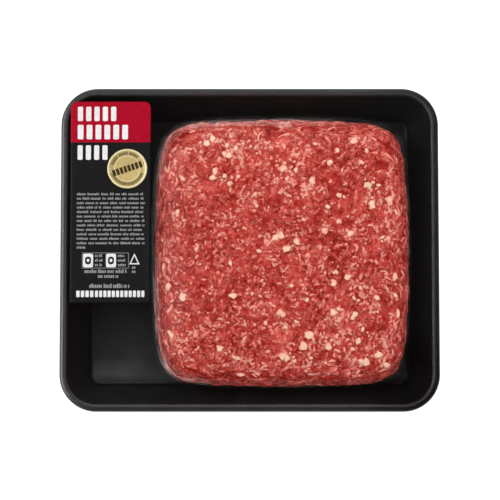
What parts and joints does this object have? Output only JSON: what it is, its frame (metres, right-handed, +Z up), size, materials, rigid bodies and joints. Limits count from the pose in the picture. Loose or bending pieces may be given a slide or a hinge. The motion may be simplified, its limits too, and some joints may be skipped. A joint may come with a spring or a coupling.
{
  "type": "meat tray pack",
  "caption": "Sealed pack of ground beef: a black rimmed tray, a pressed block of meat under clear shrunk film, and a printed label with a round seal.",
  "frame": {"origin": "centre of the pack's footprint, on the surface that the tray stands on", "axes": "+Z up, out of the open side of the tray; +X towards the right of the label as it is read; +Y towards the label's head"},
  "size_m": [0.24, 0.2054, 0.0474],
  "materials": {
    "tray_foam": "satin black foam with a smooth skin",
    "ground_beef": "moist pressed mince, red with pink strands and cream fat",
    "clear_film": "clear glossy shrink film",
    "label_print": "satin printed label, black with a red head and white print",
    "seal_foil": "pale gold foil print"
  },
  "bodies": {
    "root": {"tray": "tray_foam", "ground_beef": "ground_beef", "film": "clear_film", "label": "label_print", "seal": "seal_foil"}
  },
  "joints": []
}
